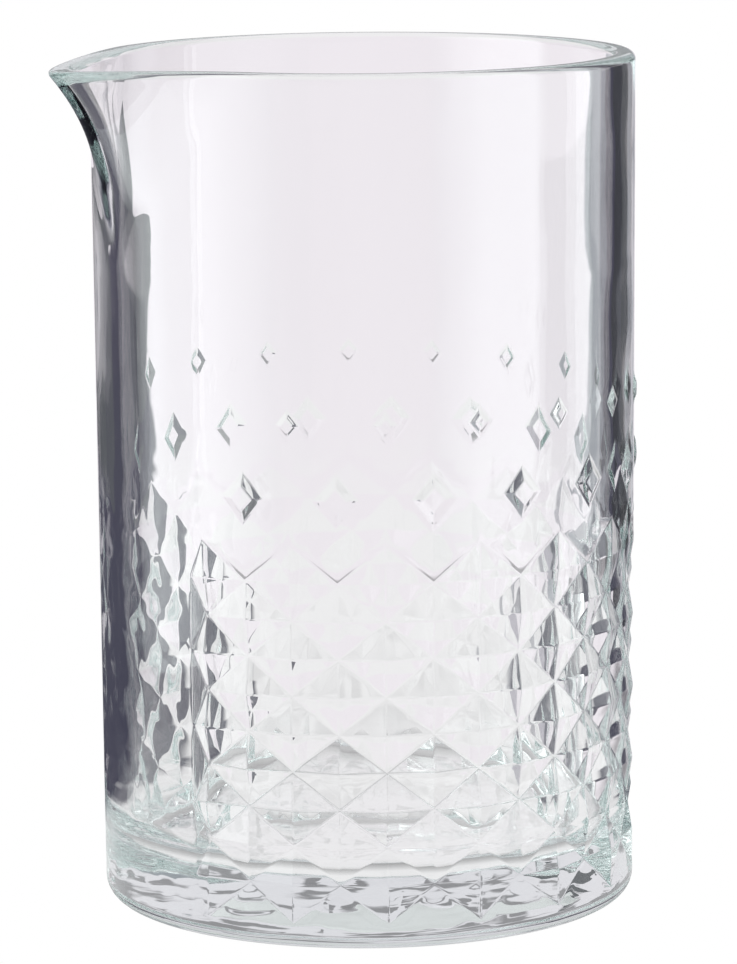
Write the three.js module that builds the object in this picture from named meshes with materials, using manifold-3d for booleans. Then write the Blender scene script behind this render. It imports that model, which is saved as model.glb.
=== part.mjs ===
// A cocktail mixing glass: one piece of clear pressed glass. It is a nearly straight, heavy-based cup with
// a pinched pouring spout, and the lower half of its wall carries a lattice of raised diamond points
// that thins out upwards into two rows of single diamonds. A plain panel is left below the spout.
// Millimetres, +Z up. The origin is the centre of the flat underside, and the spout points to -X.
import * as THREE from "three";
import { mergeVertices } from "three/addons/utils/BufferGeometryUtils.js";
import Module from "manifold-3d";

// The cup
const HEIGHT = 149;
const RIM_RADIUS = 47.5;
const FOOT_RADIUS = 46.85;
const WALL = 4;
const BASE_THICKNESS = 10.5;
const HEEL_ROUNDING = 3.6;
const FLOOR_ROUNDING = 8;
const RIM_ROUNDING = 1.3;

// The spout: how far its tip stands out past the rim, how far down the wall it starts, the power of the
// curve by which it leaves the wall, how much lower than the rim its tip is, and the angle seen from above
// over which its two flanks turn into each other
const SPOUT_REACH = 11;
const SPOUT_DROP = 36;
const SPOUT_FLARE = 2.8;
const SPOUT_DROOP = 1;
const SPOUT_TIP_ANGLE = 5;

// The lattice: diamonds in one ring of it, the first column beside the panel in half diamonds from the
// spout, and the strip in which the grooves of that column run out into the panel
const DIAMONDS_AROUND = 18;
const FIRST_COLUMN = 3;
const RUN_OUT_WIDTH = 2.5;
const LATTICE_ROWS = 9;
const LOWEST_ROW_LEVEL = 11.4;
const ROW_PITCH = 6.5;
const GROOVE_DEPTH = 1;
const TOP_GROOVE_DEPTH = 0.5;
const POINT_RISE = 0.1;

// The two rows of single diamonds above the lattice, the size of a diamond's flat top beside that of its
// foot, and how deep its sides go on inside the wall
const LARGE_STUD_LEVEL = 77.7;
const LARGE_STUD_WIDTH = 7.6;
const LARGE_STUD_HEIGHT = 8.8;
const LARGE_STUD_RISE = 0.7;
const SMALL_STUD_LEVEL = 90.35;
const SMALL_STUD_WIDTH = 4;
const SMALL_STUD_HEIGHT = 5;
const SMALL_STUD_RISE = 0.5;
const STUD_TOP_SHARE = 0.5;
const STUD_ROOT = 1;

// How finely round surfaces are divided
const STEPS_PER_COLUMN = 2;
const PANEL_STEPS = 12;
const SPOUT_STEPS = 8;
const ARC_STEPS = 4;

const GLASS_COLOUR = 0xe9f0ee;
const GLASS_ROUGHNESS = 0.04;

const COLUMNS = 2 * DIAMONDS_AROUND;
const COLUMN_ANGLE = (2 * Math.PI) / COLUMNS;
const PANEL_HALF_ANGLE = FIRST_COLUMN * COLUMN_ANGLE - RUN_OUT_WIDTH / FOOT_RADIUS;
const LATTICE_FOOT = LOWEST_ROW_LEVEL - ROW_PITCH;
const SPOUT_FOOT = HEIGHT - SPOUT_DROP;

// The outside of the plain wall: a very slight cone
function wallRadius(z) {
  return FOOT_RADIUS + ((RIM_RADIUS - FOOT_RADIUS) * z) / HEIGHT;
}

function onWall(radius, angle, z) {
  return new THREE.Vector3(-radius * Math.cos(angle), -radius * Math.sin(angle), z);
}

// Points on a quarter circle about a centre, from one angle to another
function quarterArc(centreRadius, centreLevel, rounding, from, to) {
  const points = [];
  for (let step = 0; step <= ARC_STEPS; step += 1) {
    const angle = from + ((to - from) * step) / ARC_STEPS;
    const r = centreRadius + rounding * Math.cos(angle);
    points.push(new THREE.Vector2(r, centreLevel + rounding * Math.sin(angle)));
  }
  return points;
}

// The levels at which the wall has a ring of points: every half row of the lattice, and the spout's height
function wallLevels() {
  const levels = [];
  for (let step = 0; step <= (LATTICE_ROWS + 1) * STEPS_PER_COLUMN; step += 1) {
    levels.push(LATTICE_FOOT + (ROW_PITCH * step) / STEPS_PER_COLUMN);
  }
  return levels.concat(spoutLevels()).sort((low, high) => low - high);
}

function spoutLevels() {
  const levels = [];
  for (let step = 0; step < SPOUT_STEPS; step += 1) {
    levels.push(SPOUT_FOOT + ((SPOUT_DROP - RIM_ROUNDING) * step) / SPOUT_STEPS);
  }
  return levels;
}

// Half of the glass cut through its axis: underside, heel, wall, rim, inside wall and inside floor
function glassProfile() {
  const quarter = Math.PI / 2;
  const rimCentre = HEIGHT - RIM_ROUNDING;
  const floorCentre = BASE_THICKNESS + FLOOR_ROUNDING;
  const outside = wallLevels().map((z) => new THREE.Vector2(wallRadius(z), z));
  const inside = spoutLevels().reverse().map((z) => new THREE.Vector2(wallRadius(z) - WALL, z));
  const innerRim = RIM_RADIUS - WALL + RIM_ROUNDING;
  const innerFoot = wallRadius(floorCentre) - WALL - FLOOR_ROUNDING;
  return [
    new THREE.Vector2(0, 0),
    ...quarterArc(FOOT_RADIUS - HEEL_ROUNDING, HEEL_ROUNDING, HEEL_ROUNDING, -quarter, 0),
    ...outside,
    ...quarterArc(RIM_RADIUS - RIM_ROUNDING, rimCentre, RIM_ROUNDING, 0, quarter),
    ...quarterArc(innerRim, rimCentre, RIM_ROUNDING, quarter, 2 * quarter),
    ...inside,
    ...quarterArc(innerFoot, floorCentre, FLOOR_ROUNDING, 0, -quarter),
    new THREE.Vector2(0, BASE_THICKNESS),
  ];
}

// The angles from the spout at which the glass has a column of points: an even fan across the panel,
// then the columns of the lattice and the steps between them
function columnAngles() {
  const angles = [];
  for (let step = 0; step <= PANEL_STEPS; step += 1) {
    angles.push(PANEL_HALF_ANGLE * ((2 * step) / PANEL_STEPS - 1));
  }
  const steps = (COLUMNS - 2 * FIRST_COLUMN) * STEPS_PER_COLUMN;
  for (let step = 0; step <= steps; step += 1) {
    angles.push((FIRST_COLUMN + step / STEPS_PER_COLUMN) * COLUMN_ANGLE);
  }
  angles.push(2 * Math.PI - PANEL_HALF_ANGLE);
  return angles;
}

// How many times further out than a plain round wall the glass stands in the spout. Seen from above,
// the flanks are straight lines from the tip that touch the round wall.
function spoutStretch(angle, z) {
  if (z <= SPOUT_FOOT) {
    return 1;
  }
  const climb = (z - SPOUT_FOOT) / SPOUT_DROP;
  const radius = wallRadius(z);
  const tipAngle = THREE.MathUtils.degToRad(SPOUT_TIP_ANGLE);
  const touchAngle = Math.acos(radius / (radius + SPOUT_REACH * climb ** SPOUT_FLARE)) + tipAngle;
  const fromSpout = Math.hypot(Math.min(Math.abs(angle), 2 * Math.PI - angle), tipAngle);
  return 1 / Math.cos(Math.max(0, touchAngle - fromSpout));
}

// How much lower a point stretched into the spout is than the same point of a plain round cup
function spoutDroop(radius, stretch) {
  return (SPOUT_DROOP * radius * (stretch - 1)) / SPOUT_REACH;
}

// A place on the plain glass, moved into the spout where the spout reaches it
function plainPoint(corner, angle) {
  const stretch = spoutStretch(angle, corner.y);
  return onWall(corner.x * stretch, angle, corner.y - spoutDroop(corner.x, stretch));
}

// A point is the top of a diamond where its column and row are both an even or both an odd number
// of steps from the first diamond, and otherwise a crossing of grooves.
function isPoint(column, row) {
  return (column - FIRST_COLUMN + row - 1) % 2 === 0;
}

function latticeCorner(column, row) {
  const z = LATTICE_FOOT + row * ROW_PITCH;
  let relief = 0;
  if (row > 0 && row <= LATTICE_ROWS) {
    const groove = row === LATTICE_ROWS ? TOP_GROOVE_DEPTH : GROOVE_DEPTH;
    relief = isPoint(column, row) ? POINT_RISE : -groove;
  }
  return onWall(wallRadius(z) + relief, column * COLUMN_ANGLE, z);
}

// A place on the flat facets of the lattice, in columns from the spout and rows from the lattice's foot
function latticePoint(column, row) {
  const left = Math.floor(column);
  const low = Math.floor(row);
  let best = null;
  for (const c of [left, left + 1]) {
    for (const r of [low, low + 1]) {
      const apart = Math.abs(column - c) + Math.abs(row - r);
      if (isPoint(c, r) && (best === null || apart < best.apart)) {
        best = { c, r, apart };
      }
    }
  }
  const across = column - best.c;
  const up = row - best.r;
  const side = latticeCorner(best.c + Math.sign(across), best.r);
  const end = latticeCorner(best.c, best.r + Math.sign(up));
  return latticeCorner(best.c, best.r)
    .multiplyScalar(1 - best.apart)
    .addScaledVector(side, Math.abs(across))
    .addScaledVector(end, Math.abs(up));
}

// The glass before its single diamonds: a turned body whose points are moved into the spout and the
// lattice. Each four-sided patch is divided along the groove that crosses it.
function turnedBody() {
  const profile = glassProfile();
  const angles = columnAngles();
  const geometry = new THREE.LatheGeometry(profile, angles.length - 1);
  const position = geometry.getAttribute("position");
  const rings = profile.length;
  const lowest = profile.findIndex((corner) => corner.y === LATTICE_FOOT);
  const rimRing = lowest + wallLevels().length;
  const rowOf = (ring) => (profile[ring].y - LATTICE_FOOT) / ROW_PITCH;
  const topRow = LATTICE_ROWS + 1 - 0.5 / STEPS_PER_COLUMN;
  const inLattice = (i, ring) => {
    const inRows = ring > lowest && ring < rimRing && rowOf(ring) < topRow;
    return inRows && i > PANEL_STEPS && i < angles.length - 1;
  };
  angles.forEach((angle, i) => {
    profile.forEach((corner, ring) => {
      const point = inLattice(i, ring)
        ? latticePoint(angle / COLUMN_ANGLE, rowOf(ring))
        : plainPoint(corner, angle);
      position.setXYZ(i * rings + ring, point.x, point.y, point.z);
    });
  });
  const index = [];
  for (let i = 0; i < angles.length - 1; i += 1) {
    for (let ring = 0; ring < rings - 1; ring += 1) {
      const near = i * rings + ring;
      const far = near + rings;
      const column = Math.floor((angles[i] + angles[i + 1]) / 2 / COLUMN_ANGLE);
      const row = Math.floor((rowOf(ring) + rowOf(ring + 1)) / 2);
      if (isPoint(column, row)) {
        index.push(near, far, near + 1, far, far + 1, near + 1);
      } else {
        index.push(near, far, far + 1, near, far + 1, near + 1);
      }
    }
  }
  geometry.setIndex(index);
  return geometry;
}

// A flat-topped, four-sided diamond whose side corners and end corners lie on the round wall
function stud(angle, level, width, height, rise) {
  const radius = wallRadius(level);
  const sag = radius - Math.sqrt(radius * radius - (width * width) / 4);
  const depth = rise + STUD_ROOT;
  const spread = (1 - STUD_TOP_SHARE) * depth;
  const rootWidth = width * (STUD_TOP_SHARE + spread / (rise + sag));
  const rootHeight = height * (STUD_TOP_SHARE + spread / rise);
  const geometry = new THREE.CylinderGeometry(1, 1, depth, 4);
  const position = geometry.getAttribute("position");
  for (let i = 0; i < position.count; i += 1) {
    const onTop = position.getY(i) > 0;
    position.setX(i, (position.getX(i) * (onTop ? width * STUD_TOP_SHARE : rootWidth)) / 2);
    position.setZ(i, (position.getZ(i) * (onTop ? height * STUD_TOP_SHARE : rootHeight)) / 2);
  }
  geometry.rotateX(Math.PI / 2);
  geometry.translate(0, level, radius + rise - depth / 2);
  const outward = onWall(1, angle, 0);
  const upward = new THREE.Vector3(0, 0, 1);
  const sideways = new THREE.Vector3().crossVectors(upward, outward);
  return geometry.applyMatrix4(new THREE.Matrix4().makeBasis(sideways, upward, outward));
}

const wasm = await Module();
wasm.setup();

function solidOf(geometry) {
  geometry.deleteAttribute("normal");
  geometry.deleteAttribute("uv");
  const merged = mergeVertices(geometry);
  const vertProperties = merged.getAttribute("position").array;
  const triVerts = new Uint32Array(merged.index.array);
  return new wasm.Manifold(new wasm.Mesh({ numProp: 3, vertProperties, triVerts }));
}

function geometryOf(solid) {
  const mesh = solid.getMesh();
  const geometry = new THREE.BufferGeometry();
  geometry.setAttribute("position", new THREE.BufferAttribute(mesh.vertProperties, 3));
  geometry.setIndex(new THREE.BufferAttribute(mesh.triVerts, 1));
  geometry.computeVertexNormals();
  return geometry;
}

// Each row of single diamonds has one fewer at each end than the row below it.
function glassSolid() {
  let solid = solidOf(turnedBody());
  for (let column = FIRST_COLUMN + 1; column <= COLUMNS - FIRST_COLUMN - 1; column += 2) {
    const angle = column * COLUMN_ANGLE;
    solid = solid.add(
      solidOf(stud(angle, LARGE_STUD_LEVEL, LARGE_STUD_WIDTH, LARGE_STUD_HEIGHT, LARGE_STUD_RISE)),
    );
  }
  for (let column = FIRST_COLUMN + 2; column <= COLUMNS - FIRST_COLUMN - 2; column += 2) {
    const angle = column * COLUMN_ANGLE;
    solid = solid.add(
      solidOf(stud(angle, SMALL_STUD_LEVEL, SMALL_STUD_WIDTH, SMALL_STUD_HEIGHT, SMALL_STUD_RISE)),
    );
  }
  return solid;
}

const glass = new THREE.Mesh(
  geometryOf(glassSolid()),
  new THREE.MeshStandardMaterial({ color: GLASS_COLOUR, roughness: GLASS_ROUGHNESS, metalness: 0 }),
);
glass.name = "mixing_glass";

const part = new THREE.Group();
part.add(glass);

export default part;
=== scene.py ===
# %% [markdown]
# # A cocktail mixing glass
# One piece of clear pressed glass: a heavy cup with a pinched spout and a lattice of raised diamonds.
# The CAD part sets the frame (metres, +Z up, spout to -X). This lesson builds a finer glass in the same
# place, and then a small studio round it, because clear glass looks like what stands around it.

# %% The frame that everything is built in
import math

import bmesh
import bpy
import numpy as np
from mathutils import Matrix, Vector
from mathutils.geometry import delaunay_2d_cdt


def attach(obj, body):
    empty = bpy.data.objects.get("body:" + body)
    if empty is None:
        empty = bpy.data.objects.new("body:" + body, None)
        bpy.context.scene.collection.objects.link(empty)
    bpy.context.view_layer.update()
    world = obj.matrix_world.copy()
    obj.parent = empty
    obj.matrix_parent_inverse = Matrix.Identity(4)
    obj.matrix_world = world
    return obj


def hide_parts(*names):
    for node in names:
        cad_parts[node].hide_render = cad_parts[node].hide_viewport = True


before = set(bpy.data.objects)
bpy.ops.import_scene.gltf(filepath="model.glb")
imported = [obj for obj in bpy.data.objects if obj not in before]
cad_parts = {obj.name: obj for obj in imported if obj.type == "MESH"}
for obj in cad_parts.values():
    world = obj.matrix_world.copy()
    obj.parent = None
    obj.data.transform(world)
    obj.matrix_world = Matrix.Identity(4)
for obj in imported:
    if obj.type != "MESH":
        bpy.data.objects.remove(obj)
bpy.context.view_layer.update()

# %% [markdown]
# ## The sizes of the cup
# All sizes of the glass are in millimetres and become metres only when the mesh is made. The outside is a
# very slight cone, and the wall is about 4 mm thick on a thick base.
#
# The spout is pinched out of the hot rim. Seen from above, each level is a circle with two straight lines
# that touch it and meet in a small round tip. A formula does this for any angle: `spout_stretch` says how
# much further from the axis a point lies than on the plain circle. It could be sculpted by hand, but then
# inside and outside wouldn't stay a wall's thickness apart.

# %% The plain wall and the spout
HEIGHT, RIM_RADIUS, FOOT_RADIUS = 149.0, 47.5, 46.85
WALL, BASE = 4.0, 10.5
HEEL, FLOOR_ROUND, RIM_ROUND = 3.6, 8.0, 1.3
SPOUT_REACH, SPOUT_DROP, SPOUT_TIP = 10.96, 36.0, math.radians(5.0)
SPOUT_FLARE, SPOUT_DROOP = 2.8, 1.0
SPOUT_FOOT = HEIGHT - SPOUT_DROP


def wall_radius(z):
    return FOOT_RADIUS + (RIM_RADIUS - FOOT_RADIUS) * z / HEIGHT


def on_wall(radius, angle, z):
    return np.array((-radius * math.cos(angle), -radius * math.sin(angle), z))


def spout_stretch(angle, z):
    if z <= SPOUT_FOOT:
        return 1.0
    climb = (z - SPOUT_FOOT) / SPOUT_DROP
    radius = wall_radius(z)
    touch = math.acos(radius / (radius + SPOUT_REACH * climb**SPOUT_FLARE)) + SPOUT_TIP
    from_spout = math.hypot(min(angle, 2 * math.pi - angle), SPOUT_TIP)
    return 1 / math.cos(max(0.0, touch - from_spout))


def spout_droop(radius, stretch):
    return SPOUT_DROOP * radius * (stretch - 1) / SPOUT_REACH


# %% [markdown]
# ## The lattice
# The lower wall is drawn flat first, as on paper wrapped round the glass: columns across and millimetres
# up. Each diamond has a raised point, four grooves round it and four flat facets. The points differ a
# little in height, because hot glass doesn't fill every corner of the mould alike.
#
# A displacement texture could make such facets too, but it would blur their edges. Drawn points and
# creases keep every edge where the mould has it.

# %% Drawing the lattice flat
COLUMNS, FIRST, ROWS = 36, 3, 9
ROW_PITCH, LOWEST = 6.5, 11.4
FOOT = LOWEST - ROW_PITCH
GROOVE, TOP_GROOVE = 1.0, 0.5
POINT, POINT_SPREAD = 0.06, 0.04
PANEL_MARGIN = 2.5
COLUMN_ANGLE = 2 * math.pi / COLUMNS
COLUMN_WIDTH = COLUMN_ANGLE * FOOT_RADIUS
PANEL = FIRST - PANEL_MARGIN / COLUMN_WIDTH
rng = np.random.default_rng(7)


class Drawing:
    """Points and creases on the unrolled wall, with the place in space of each point."""

    def __init__(self):
        self.flat, self.place, self.creases, self.known = [], [], [], {}

    def point(self, column, z, place=None):
        key = (round(column, 4), round(z, 4))
        if key not in self.known:
            self.known[key] = len(self.flat)
            self.flat.append((column * COLUMN_WIDTH, z))
            if place is None:
                place = on_wall(wall_radius(z), column * COLUMN_ANGLE, z)
            self.place.append(place)
        return self.known[key]

    def crease(self, *points):
        self.creases += zip(points, points[1:])


drawing = Drawing()


def level(row):
    return FOOT + row * ROW_PITCH


def corner(column, row):
    """A crossing of grooves, or a corner on the plain wall at the lattice's edges."""
    z = level(row)
    edge = row in (0, ROWS + 1) or not FIRST <= column <= COLUMNS - FIRST
    depth = TOP_GROOVE if row == ROWS else GROOVE
    return on_wall(wall_radius(z) - (0.0 if edge else depth), column * COLUMN_ANGLE, z)


def diamond(column, row):
    z = level(row)
    rise = POINT + rng.uniform(-POINT_SPREAD, POINT_SPREAD)
    apex = drawing.point(column, z, on_wall(wall_radius(z) + rise, column * COLUMN_ANGLE, z))
    left = PANEL if column == FIRST else column - 1
    right = COLUMNS - PANEL if column == COLUMNS - FIRST else column + 1
    ends = [(right, row), (column, row + 1), (left, row), (column, row - 1)]
    corners = [drawing.point(c, level(r), corner(c, r)) for c, r in ends]
    drawing.crease(*corners, corners[0])
    for end in corners:
        drawing.crease(apex, end)


for row in range(1, ROWS + 1):
    for column in range(FIRST, COLUMNS - FIRST + 1):
        if (column - FIRST + row - 1) % 2 == 0:
            diamond(column, row)
for row in range(1, ROWS, 2):
    for edge in (PANEL, COLUMNS - PANEL):
        drawing.crease(drawing.point(edge, level(row)), drawing.point(edge, level(row + 2)))
print("lattice:", len(drawing.flat), "points,", len(drawing.creases), "creases")

# %% [markdown]
# ## The single diamonds
# Above the lattice stand two rows of small, separate diamonds. Each is a low block with four sloping sides
# and a smaller, flat diamond on top. They are drawn into the same flat sheet, so that they grow out of the
# wall as one piece of glass and hide no wall behind them.

# %% Drawing the single diamonds
STUD_TOP_SHARE = 0.5
LOW_STUDS = {"z": 77.7, "half_width": 3.8, "half_height": 4.4, "rise": 0.69}
HIGH_STUDS = {"z": 90.35, "half_width": 2.0, "half_height": 2.5, "rise": 0.49}
studs = []


def stud_ring(column, z, half_width, half_height, rise):
    ring = []
    for across, up in ((1, 0), (0, 1), (-1, 0), (0, -1)):
        c, h = column + across * half_width / COLUMN_WIDTH, z + up * half_height
        ring.append(drawing.point(c, h, on_wall(wall_radius(h) + rise, c * COLUMN_ANGLE, h)))
    drawing.crease(*ring, ring[0])
    return ring


def stud(column, z, half_width, half_height, rise):
    studs.append((column * COLUMN_WIDTH, z, half_width, half_height))
    foot = stud_ring(column, z, half_width, half_height, 0.0)
    top = stud_ring(column, z, half_width * STUD_TOP_SHARE, half_height * STUD_TOP_SHARE, rise)
    for corners in zip(foot, top):
        drawing.crease(*corners)


for column in range(FIRST + 1, COLUMNS - FIRST, 2):
    stud(column, **LOW_STUDS)
for column in range(FIRST + 2, COLUMNS - FIRST - 1, 2):
    stud(column, **HIGH_STUDS)
print("single diamonds:", len(studs))

# %% [markdown]
# ## Filling in the plain wall
# A fine grid of points covers what is left: the panel under the spout and the wall up to the spout's
# foot. It keeps a little away from the diamonds, so that no thin slivers arise. The flat drawing is then
# divided into triangles along its creases, which a Delaunay triangulation does in one call.

# %% Points of the plain wall
FINE, WIDE, PANEL_POINTS, WALL_LEVELS = 10, 5, 27, 47
STUD_MARGIN_ACROSS, STUD_MARGIN_UP = 0.7, 0.8
EDGE_MARGIN_COLUMNS, EDGE_MARGIN_UP = 0.05, 0.8
SAME_POINT = 1e-5
fine = [k / FINE for k in range(PANEL_POINTS)]
wide = [k / WIDE for k in range(WIDE * FIRST - 1, WIDE * (COLUMNS - FIRST) + 2)]
ring_columns = fine + wide + [COLUMNS - c for c in reversed(fine)]
lattice_top = level(ROWS + 1)


def clear_of_studs(x, z):
    for stud_x, stud_z, width, height in studs:
        across = abs(x - stud_x) / (width + STUD_MARGIN_ACROSS)
        if across + abs(z - stud_z) / (height + STUD_MARGIN_UP) <= 1:
            return False
    return True


def above_lattice(column, z):
    if not PANEL - EDGE_MARGIN_COLUMNS < column < COLUMNS - PANEL + EDGE_MARGIN_COLUMNS:
        return True
    from_top = abs((column - FIRST) % 2 - 1)
    return z > lattice_top - (1 - from_top) * ROW_PITCH + EDGE_MARGIN_UP


for z in np.linspace(FOOT, SPOUT_FOOT, WALL_LEVELS):
    for column in ring_columns:
        on_edge = z in (FOOT, SPOUT_FOOT)
        if on_edge or (above_lattice(column, z) and clear_of_studs(column * COLUMN_WIDTH, z)):
            drawing.point(column, z)
flat = [Vector(p) for p in drawing.flat]
out_flat, _, triangles, from_points, _, _ = delaunay_2d_cdt(flat, drawing.creases, [], 0, SAME_POINT)
print("wall:", len(out_flat), "points,", len(triangles), "triangles")

# %% [markdown]
# ## The rest of the glass
# The heel, underside, spout, rim and inside are rings of points that follow a profile, like a pot on a
# wheel. Every ring has the same columns as the edges of the flat drawing, so the two fit together point by
# point. The spout stretches each ring towards -X.

# %% Rings from a profile
HEEL_STEPS, RIM_STEPS, FLOOR_STEPS = 8, 6, 14
SPOUT_RINGS, INSIDE_RINGS = 28, 60
UNDERSIDE_RADII, FLOOR_RADII = (0, 20, 38), (22, 11, 0)


def arc(radius, z, rounding, start, end, steps):
    angles = np.radians(np.linspace(start, end, steps + 1))
    return [(radius + rounding * math.cos(a), z + rounding * math.sin(a)) for a in angles]


def ring(bm, r, z):
    columns = ring_columns[:-1]
    places = []
    for angle in (c * COLUMN_ANGLE for c in columns):
        stretch = spout_stretch(angle, z)
        places.append(on_wall(r * stretch, angle, z - spout_droop(r, stretch)))
    return [bm.verts.new(p / 1000) for p in places]


def skin(bm, profile):
    rows = [ring(bm, r, z) if r > 0 else [bm.verts.new((0, 0, z / 1000))] for r, z in profile]
    count = len(ring_columns) - 1
    for low, high in zip(rows, rows[1:]):
        for k in range(count):
            n = (k + 1) % count
            corners = [low[k % len(low)], low[n % len(low)], high[n % len(high)], high[k % len(high)]]
            bm.faces.new(list(dict.fromkeys(corners)))


foot_profile = [(r, 0) for r in UNDERSIDE_RADII]
foot_profile += arc(FOOT_RADIUS - HEEL, HEEL, HEEL, -90, 0, HEEL_STEPS)
foot_profile += [(wall_radius(FOOT), FOOT)]

rim_start = HEIGHT - RIM_ROUND
floor_start = BASE + FLOOR_ROUND
floor_radius = wall_radius(floor_start) - WALL - FLOOR_ROUND
cup_profile = [(wall_radius(z), z) for z in np.linspace(SPOUT_FOOT, rim_start, SPOUT_RINGS)[:-1]]
cup_profile += arc(RIM_RADIUS - RIM_ROUND, rim_start, RIM_ROUND, 0, 90, RIM_STEPS)
cup_profile += arc(RIM_RADIUS - WALL + RIM_ROUND, rim_start, RIM_ROUND, 90, 180, RIM_STEPS)
inside_levels = np.linspace(rim_start, floor_start, INSIDE_RINGS)[1:-1]
cup_profile += [(wall_radius(z) - WALL, z) for z in inside_levels]
cup_profile += arc(floor_radius, floor_start, FLOOR_ROUND, 0, -90, FLOOR_STEPS)
cup_profile += [(r, BASE) for r in FLOOR_RADII]

# %% Joining them into one closed mesh
WELD = 2e-6
bm = bmesh.new()
skin(bm, foot_profile)
skin(bm, cup_profile)
wall = [bm.verts.new(drawing.place[ids[0]] / 1000) for ids in from_points]
where = {point: wall[k] for k, ids in enumerate(from_points) for point in ids}
for triangle in triangles:
    bm.faces.new([wall[k] for k in triangle])
for a, b in drawing.creases:
    edge = bm.edges.get((where[a], where[b]))
    if edge:
        edge.smooth = False
bmesh.ops.remove_doubles(bm, verts=bm.verts, dist=WELD)
bm.normal_update()
open_edges = [e for e in bm.edges if not e.is_manifold]
print("glass:", len(bm.faces), "faces,", len(open_edges), "open edges")

# %% [markdown]
# ## Rounded edges
# The surface of hot glass pulls its edges round, and each round edge catches a fine bright or dark line.
# A bevel rounds every crease. The facets stay flat, because each corner's normal follows its largest faces.

# %% Rounding the creases
ROUNDING = 0.3
creases = [e for e in bm.edges if not e.smooth]
bmesh.ops.bevel(
    bm,
    geom=creases,
    offset=ROUNDING / 1000,
    offset_type="OFFSET",
    segments=2,
    profile=0.5,
    affect="EDGES",
    clamp_overlap=False,
)
bm.normal_update()
for edge in bm.edges:
    edge.smooth = True
for face in bm.faces:
    face.smooth = True
normals = [sum((f.normal * f.calc_area() for f in v.link_faces), Vector()).normalized() for v in bm.verts]
print("rounded:", len(creases), "creases,", len(bm.faces), "faces")
mesh = bpy.data.meshes.new("mixing_glass_fine")
bm.to_mesh(mesh)
bm.free()
mesh.normals_split_custom_set_from_vertices(normals)
glass = bpy.data.objects.new("mixing_glass_fine", mesh)
bpy.context.scene.collection.objects.link(glass)
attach(glass, "root")
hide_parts("mixing_glass")

# %% [markdown]
# ## Shader maths as Python
# A socket in a node tree is wrapped so that + - * / make Math nodes. `node` makes any other node: its type,
# its settings, then its sockets, in order or by name. `ramp` is the one that is used most: a soft step.

# %% A small wrapper for shader nodes


class Socket:
    """A socket of a node tree. Sums and products of sockets add Math nodes to the tree."""

    def __init__(self, tree, socket=None):
        self.tree, self.socket = tree, socket

    def plug(self, target, value):
        if isinstance(value, Socket):
            self.tree.links.new(value.socket, target)
        else:
            target.default_value = value

    def node(self, kind, settings=None, *ordered, output=0, **named):
        made = self.tree.nodes.new(kind)
        for name, value in (settings or {}).items():
            setattr(made, name, value)
        for target, value in zip(made.inputs, ordered):
            self.plug(target, value)
        for name, value in named.items():
            self.plug(made.inputs[name.replace("_", " ")], value)
        return Socket(self.tree, made.outputs[output] if made.outputs else None)

    def math(self, operation, *values):
        return self.node("ShaderNodeMath", {"operation": operation}, *values)

    def ramp(self, low, high, bottom=0.0):
        """From the bottom value to 1 while this value goes from low to high, and no further."""
        return self.node("ShaderNodeMapRange", Value=self, From_Min=low, From_Max=high, To_Min=bottom)

    def __add__(self, other):
        return self.math("ADD", self, other)

    def __sub__(self, other):
        return self.math("SUBTRACT", self, other)

    def __mul__(self, other):
        return self.math("MULTIPLY", self, other)

    def __truediv__(self, other):
        return self.math("DIVIDE", self, other)

    def __radd__(self, other):
        return self.math("ADD", other, self)

    def __rsub__(self, other):
        return self.math("SUBTRACT", other, self)

    def __rmul__(self, other):
        return self.math("MULTIPLY", other, self)

    def __rtruediv__(self, other):
        return self.math("DIVIDE", other, self)


def new_material(name):
    material = bpy.data.materials.new(name)
    material.use_nodes = True
    material.node_tree.nodes.clear()
    return material, Socket(material.node_tree)


# %% [markdown]
# ## Clear pressed glass
# Light passes through and bends (IOR 1.52), and thick places turn faintly grey-green, because the glass
# takes up a little light on the way and most of it red. Volume Absorption does that by the length of the
# path, so the thin wall stays clear and the rim and base get their tint.
#
# A press mould leaves small waves. Slow ones run over the whole glass and grow in the thick base, and
# smaller swirls lie where the mould has its lattice. They are only a slight bump: the shape stays, but
# what is seen through it starts to flow.

# %% The glass material
BASE_WAVES_TOP, BASE_WAVES_FULL, BASE_WAVES = 0.030, 0.012, 2.5
SWIRLS_TOP, SWIRLS_FULL, SWIRLS = 0.085, 0.060, 0.35
material, start = new_material("clear_pressed_glass")
coords = start.node("ShaderNodeTexCoord", output="Object")
waves = start.node("ShaderNodeTexNoise", Vector=coords, Scale=38.0, Detail=1.0)
smears = start.node("ShaderNodeTexNoise", Vector=coords, Scale=90.0, Detail=3.0)
swirls = start.node("ShaderNodeTexNoise", Vector=coords, Scale=150.0, Detail=0.0, Distortion=0.6)
height = start.node("ShaderNodeSeparateXYZ", Vector=coords, output="Z")
thick = 1.0 + BASE_WAVES * height.ramp(BASE_WAVES_TOP, BASE_WAVES_FULL)
moulded = SWIRLS * height.ramp(SWIRLS_TOP, SWIRLS_FULL)
relief = waves * thick + swirls * moulded
shader = start.node(
    "ShaderNodeBsdfPrincipled",
    Base_Color=(1.0, 1.0, 1.0, 1.0),
    Roughness=0.004 + 0.012 * smears,
    IOR=1.52,
    Transmission_Weight=1.0,
    Normal=start.node("ShaderNodeBump", Strength=0.03, Distance=0.01, Height=relief),
)
tint = start.node("ShaderNodeVolumeAbsorption", Color=(0.58, 0.71, 0.69, 1.0), Density=5.0)
start.node("ShaderNodeOutputMaterial", Surface=shader, Volume=tint)
mesh.materials.append(material)

# %% [markdown]
# ## The camera
# It stands a little above the rim and looks slightly down. Its place was fitted to the outline, the rim and
# the lattice in the photo. The focal length is kept in pixels of the photo, as camera fitting gives it, and
# is turned into millimetres on the sensor. For an upright picture the sensor's 36 mm lie along the height.

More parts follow.
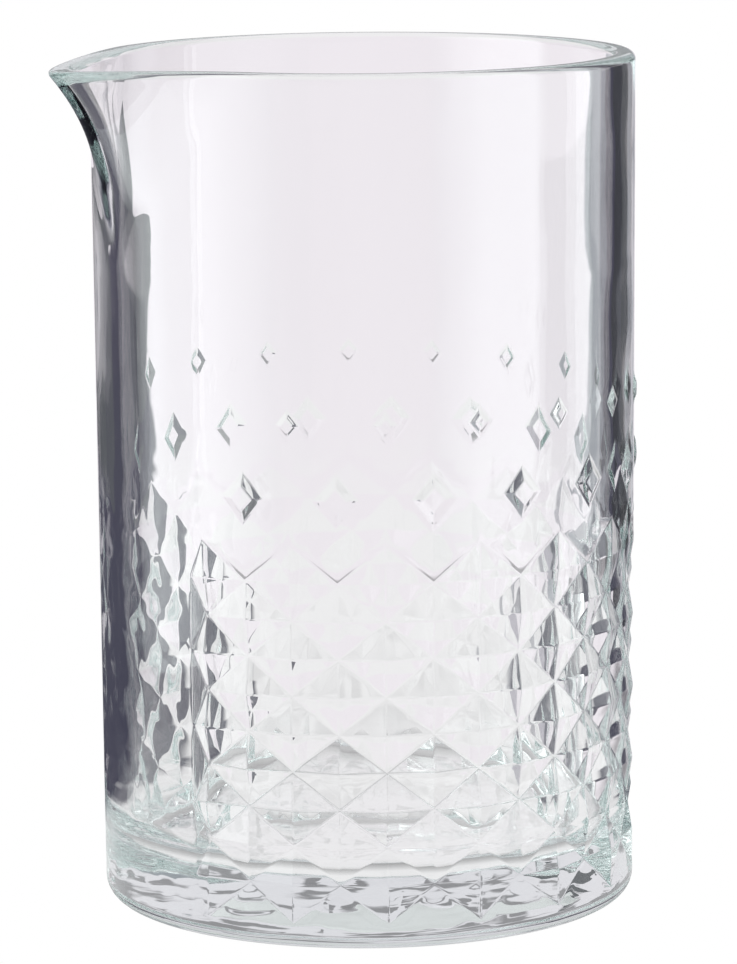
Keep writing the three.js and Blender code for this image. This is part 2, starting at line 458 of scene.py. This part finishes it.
# %% The camera, fitted to the photo's view
TURN = math.radians(-23.9)
DISTANCE, CAMERA_HEIGHT = 0.87815, 0.2185
TILT, ROLL, PAN = math.radians(9.396), math.radians(-0.503), math.radians(0.029)
SENSOR, FOCAL_PIXELS, IMAGE_HEIGHT = 36.0, 5048.5, 964
scene = bpy.context.scene
camera_data = bpy.data.cameras.new("camera")
camera = bpy.data.objects.new("camera", camera_data)
scene.collection.objects.link(camera)
scene.camera = camera
camera_data.sensor_width = SENSOR
camera_data.lens = SENSOR * FOCAL_PIXELS / IMAGE_HEIGHT
camera_data.clip_start = 0.01
place = Matrix.Translation((DISTANCE * math.sin(TURN), -DISTANCE * math.cos(TURN), CAMERA_HEIGHT))
aim = Matrix.Rotation(TURN - PAN, 4, "Z") @ Matrix.Rotation(math.pi / 2 - TILT, 4, "X")
camera.matrix_world = place @ aim @ Matrix.Rotation(ROLL, 4, "Z")

# %% [markdown]
# ## The set
# Clear glass is drawn by its surroundings. Photographers light it from a bright field: white all round, and
# dark things just outside the picture, which the edges of the glass bend into view.
#
# The glass stands on a turntable and the set stays where the camera is. Here it is the other way round, with
# the same result: an empty turns its -Y side to the camera, and the set hangs on it. On the set, -Y is in
# front of the glass, +Y behind it, and all lengths are in metres.
#
# Light bounces many times between the facets, so the paths have to be long. Short ones would end black.

# %% The turntable, and how set pieces are made
BOUNCES, CLEAR_PASSES = 96, 20
scene.view_settings.view_transform = "Standard"
scene.cycles.max_bounces = BOUNCES
scene.cycles.transmission_bounces = BOUNCES
scene.cycles.glossy_bounces = BOUNCES
scene.cycles.transparent_max_bounces = CLEAR_PASSES
turntable = bpy.data.objects.new("turntable", None)
scene.collection.objects.link(turntable)
track = turntable.constraints.new("LOCKED_TRACK")
track.target, track.track_axis, track.lock_axis = camera, "TRACK_NEGATIVE_Y", "LOCK_Z"


def light_material(name, paint, strength=1.0):
    """A surface that glows in a colour, or in one worked out by a function of the wrapper."""
    material, start = new_material(name)
    colour = paint(start) if callable(paint) else (*paint, 1.0)
    glow = start.node("ShaderNodeEmission", Color=colour, Strength=strength)
    start.node("ShaderNodeOutputMaterial", Surface=glow)
    return material


def plate(name, corners, material, faces=None):
    mesh = bpy.data.meshes.new(name)
    mesh.from_pydata(corners, [], faces or [range(len(corners))])
    mesh.materials.append(material)
    made = bpy.data.objects.new(name, mesh)
    scene.collection.objects.link(made)
    return made


def hang_on_turntable(made):
    """A piece of the set that only the glass sees."""
    made.visible_camera = False
    made.parent = turntable


# %% [markdown]
# ## Two tables
# The camera sees a plain white table. The glass sees another one just above it, which is painted: slightly
# pink, with a shadow round the foot. Only rays that have passed through the glass, or were mirrored by it,
# reach the second table. Both glow by themselves, which gives an even white with little noise.
#
# Dark cloth lies on the painted table to the left and right behind the glass. Through the curved wall it
# shows as the dark stripes at the sides. Each edge is a soft step with a begin and an end. The right cloth
# has a grey inner border, as the photo's right edge has a grey stripe beside the dark one.

# %% The plain table
TABLE_SIZE, SEEN_TABLE_Z, GLASS_TABLE_Z = 30.0, -0.0006, -0.0004


def table(name, z, material):
    size = TABLE_SIZE
    return plate(name, [(-size, -size, z), (size, -size, z), (size, size, z), (-size, size, z)], material)


white_table = table("table_seen", SEEN_TABLE_Z, light_material("table_white", (1.0, 1.0, 1.0)))
white_table.visible_transmission = False
white_table.visible_glossy = False

# %% The painted table
SOFT_WHITE = (0.865, 0.82, 0.867)
CLOTH_FRONT, CLOTH_INNER, CLOTH_OUTER = (0.05, 0.07), (0.031, 0.037), (0.75, 0.70)
LEFT_CLOTH_BACK, RIGHT_CLOTH_LONGER, RIGHT_CLOTH_WIDER = (0.93, 0.87), 10.0, 1.0
LEFT_SLANT, RIGHT_SLANT, CLOTH_DARK, CLOTH_BLUE = 0.203, 0.240, 0.92, 0.028
BORDER_SLANT, BORDER_EDGE, BORDER_GREY = 0.42, (0.026, 0.020), 0.4
SHADOW_RADIUS, SHADOW_OUT, SHADOW_IN, SHADOW_LIGHT = 0.046, 0.054, 0.038, 0.45
RIPPLES_BACK, RIPPLES_FRONT, RIPPLES_EDGE, RIPPLES_DARK = (0.22, 0.10), (0.0, 0.05), (0.35, 0.65), 0.16
NEAR_EDGE, NEAR_GREEN = (0.55, 0.30), 0.04
MIDDLE = (0.0, 0.001)


def cloth_and_border(start, x, y):
    side = start.math("ABSOLUTE", x)
    right = x.ramp(*MIDDLE)
    behind = y.ramp(*CLOTH_FRONT) * (y - RIGHT_CLOTH_LONGER * right).ramp(*LEFT_CLOTH_BACK)
    beside = side - (LEFT_SLANT + (RIGHT_SLANT - LEFT_SLANT) * right) * y
    across = beside.ramp(*CLOTH_INNER) * (beside - RIGHT_CLOTH_WIDER * right).ramp(*CLOTH_OUTER)
    border = right * (side - BORDER_SLANT * y).ramp(*BORDER_EDGE)
    return behind * across, border


def painted_table(start):
    """White paper with dark cloth beside it, and painted light and shade on it: faint ripples of painted
    caustics behind the glass and a painted shadow round the foot.
    """
    coords = start.node("ShaderNodeTexCoord", output="Object")
    x, y = (start.node("ShaderNodeSeparateXYZ", Vector=coords, output=axis) for axis in "XY")
    cloth, border = cloth_and_border(start, x, y)
    away = start.node("ShaderNodeVectorMath", {"operation": "LENGTH"}, coords, output="Value")
    # Painted shadow: a ring of shade on the table round the foot of the glass.
    outside = away.ramp(SHADOW_RADIUS, SHADOW_OUT, SHADOW_LIGHT)
    shadow = outside + (1.0 - SHADOW_LIGHT) * away.ramp(SHADOW_RADIUS, SHADOW_IN)
    # Painted caustics: faint ripples of shade on the table just behind the glass, where the glass throws its
    # shadow and caustics.
    noise = start.node("ShaderNodeTexNoise", Vector=coords, Scale=32.0, Detail=0.0, Distortion=1.0)
    caustic_ripples = y.ramp(*RIPPLES_BACK) * y.ramp(*RIPPLES_FRONT) * noise.ramp(*RIPPLES_EDGE)
    bare = 1.0 - cloth * (CLOTH_DARK - BORDER_GREY * border)
    light = bare * shadow * (1.0 - RIPPLES_DARK * caustic_ripples)
    red, green, blue = SOFT_WHITE
    return start.node(
        "ShaderNodeCombineColor",
        Red=red * light,
        Green=(green + NEAR_GREEN * y.ramp(*NEAR_EDGE)) * light,
        Blue=blue * light + CLOTH_BLUE * cloth,
    )


glass_table = table("table_through_glass", GLASS_TABLE_Z, light_material("table_pale", painted_table))
hang_on_turntable(glass_table)

# %% [markdown]
# ## The surroundings
# The camera sees plain white. The glass sees a soft white hall with two dark bands above the horizon. Light
# that is caught in the thick base and thrown up from its underside leaves at these heights, so the bands
# show only as streaks and drops in the base, the rim and the lattice. The upper band is broken into
# patches. The heights are those of a direction of length 1, from 0 at the horizon to 1 overhead.

# %% The world
LOW_BAND = ((0.02, 0.05), (0.13, 0.11))
HIGH_BAND = ((0.20, 0.22), (0.29, 0.27))
BAND_DARK, PATCH_EDGE = 0.65, (0.44, 0.52)
world = bpy.data.worlds.new("soft_studio")
scene.world = world
world.use_nodes = True
world.node_tree.nodes.clear()
sky = Socket(world.node_tree)
direction = sky.node("ShaderNodeTexCoord", output="Generated")
height = sky.node("ShaderNodeSeparateXYZ", Vector=direction, output="Z")
low_band, high_band = (height.ramp(*lower) * height.ramp(*upper) for lower, upper in (LOW_BAND, HIGH_BAND))
patches = sky.node("ShaderNodeTexNoise", Vector=direction, Scale=9.0, Detail=0.0)
dark = BAND_DARK * low_band + BAND_DARK * high_band * patches.ramp(*PATCH_EDGE)
pale_hall = sky.node("ShaderNodeBackground", Color=(*SOFT_WHITE, 1.0), Strength=1.0)
dark_hall = sky.node("ShaderNodeBackground", Color=(0.0, 0.0, 0.0, 1.0), Strength=1.0)
seen = sky.node("ShaderNodeBackground", Color=(1.0, 1.0, 1.0, 1.0), Strength=1.0)
hall = sky.node("ShaderNodeMixShader", None, dark, pale_hall, dark_hall)
is_camera = sky.node("ShaderNodeLightPath", output="Is Camera Ray")
sky.node("ShaderNodeOutputWorld", Surface=sky.node("ShaderNodeMixShader", None, is_camera, hall, seen))

# %% [markdown]
# ## Cards at the sides
# Upright cards stand close beside the glass. The wall bends the view outwards at its edges, up to 39 degrees
# just where the view grazes the inside, so the cards fill the outermost stripes above the cloth. They begin
# above the base, which would otherwise get hard dark facets. On the right a dark card and a grey one follow
# each other, as the photo's stripes do.

# %% The cards
CARD_X, CARD_COLOUR = 0.08, (0.86, 0.9, 1.0)


def card(name, side, near, far, foot, top, glow):
    x = side * CARD_X
    corners = [(x, near, foot), (x, far, foot), (x, far, top), (x, near, top)]
    hang_on_turntable(plate(name, corners, light_material(name, CARD_COLOUR, glow)))


card("card_right_dark", 1, near=0.028, far=0.08, foot=0.05, top=0.4, glow=0.05)
card("card_right_grey", 1, near=0.08, far=0.165, foot=0.05, top=0.4, glow=0.36)
card("card_left", -1, near=0.04, far=0.21, foot=0.06, top=0.116, glow=0.12)

# %% [markdown]
# ## Soft boxes in front
# Glass mirrors about a twentieth of the light that falls on it. Glowing curved screens in front and at the
# sides give the broad, pale upright reflections on the wall. Each is brightest between two directions and
# fades towards its ends, so no hard edge shows. Directions are in degrees, from 0 towards the camera to 90
# on the right. Behind them, a large grey screen stands for the dim room behind the camera.

# %% The soft boxes and the front screen
BOX_COLOUR, BOX_TOP, BOX_STEPS = (0.95, 1.0, 1.0), 0.5, 24


def curved_screen(name, distance, start, end, bottom, top, steps, paint):
    angles = np.radians(np.linspace(start, end, steps + 1))
    low = [(distance * math.sin(a), -distance * math.cos(a), bottom) for a in angles]
    high = [(x, y, top) for x, y, _ in low]
    count = len(low)
    faces = [(k, k + 1, count + k + 1, count + k) for k in range(steps)]
    hang_on_turntable(plate(name, low + high, light_material(name, paint), faces))


def soft_box(name, distance, start, end, bright_start, bright_end, bright, dim=0.75):
    def glow(wrapper):
        coords = wrapper.node("ShaderNodeTexCoord", output="Object")
        x, y = (wrapper.node("ShaderNodeSeparateXYZ", Vector=coords, output=axis) for axis in "XY")
        turn = wrapper.math("ARCTAN2", x, -1.0 * y) * math.degrees(1.0)
        light = dim + bright * turn.ramp(start, bright_start) * turn.ramp(end, bright_end)
        red, green, blue = BOX_COLOUR
        return wrapper.node("ShaderNodeCombineColor", Red=red * light, Green=green * light, Blue=blue * light)

    curved_screen(name, distance, start, end, bottom=0.0, top=BOX_TOP, steps=BOX_STEPS, paint=glow)


soft_box("box_left", 0.26, -104.0, -34.0, bright_start=-99.0, bright_end=-64.0, bright=1.4)
soft_box("box_right", 0.26, 28.0, 92.0, bright_start=54.0, bright_end=91.0, bright=0.15)
soft_box("box_side", 0.27, 92.0, 111.0, bright_start=92.5, bright_end=109.0, bright=1.7, dim=0.0)
curved_screen("front_screen", 1.5, -75.0, 75.0, bottom=0.1, top=1.6, steps=40, paint=(0.7, 0.7, 0.71))
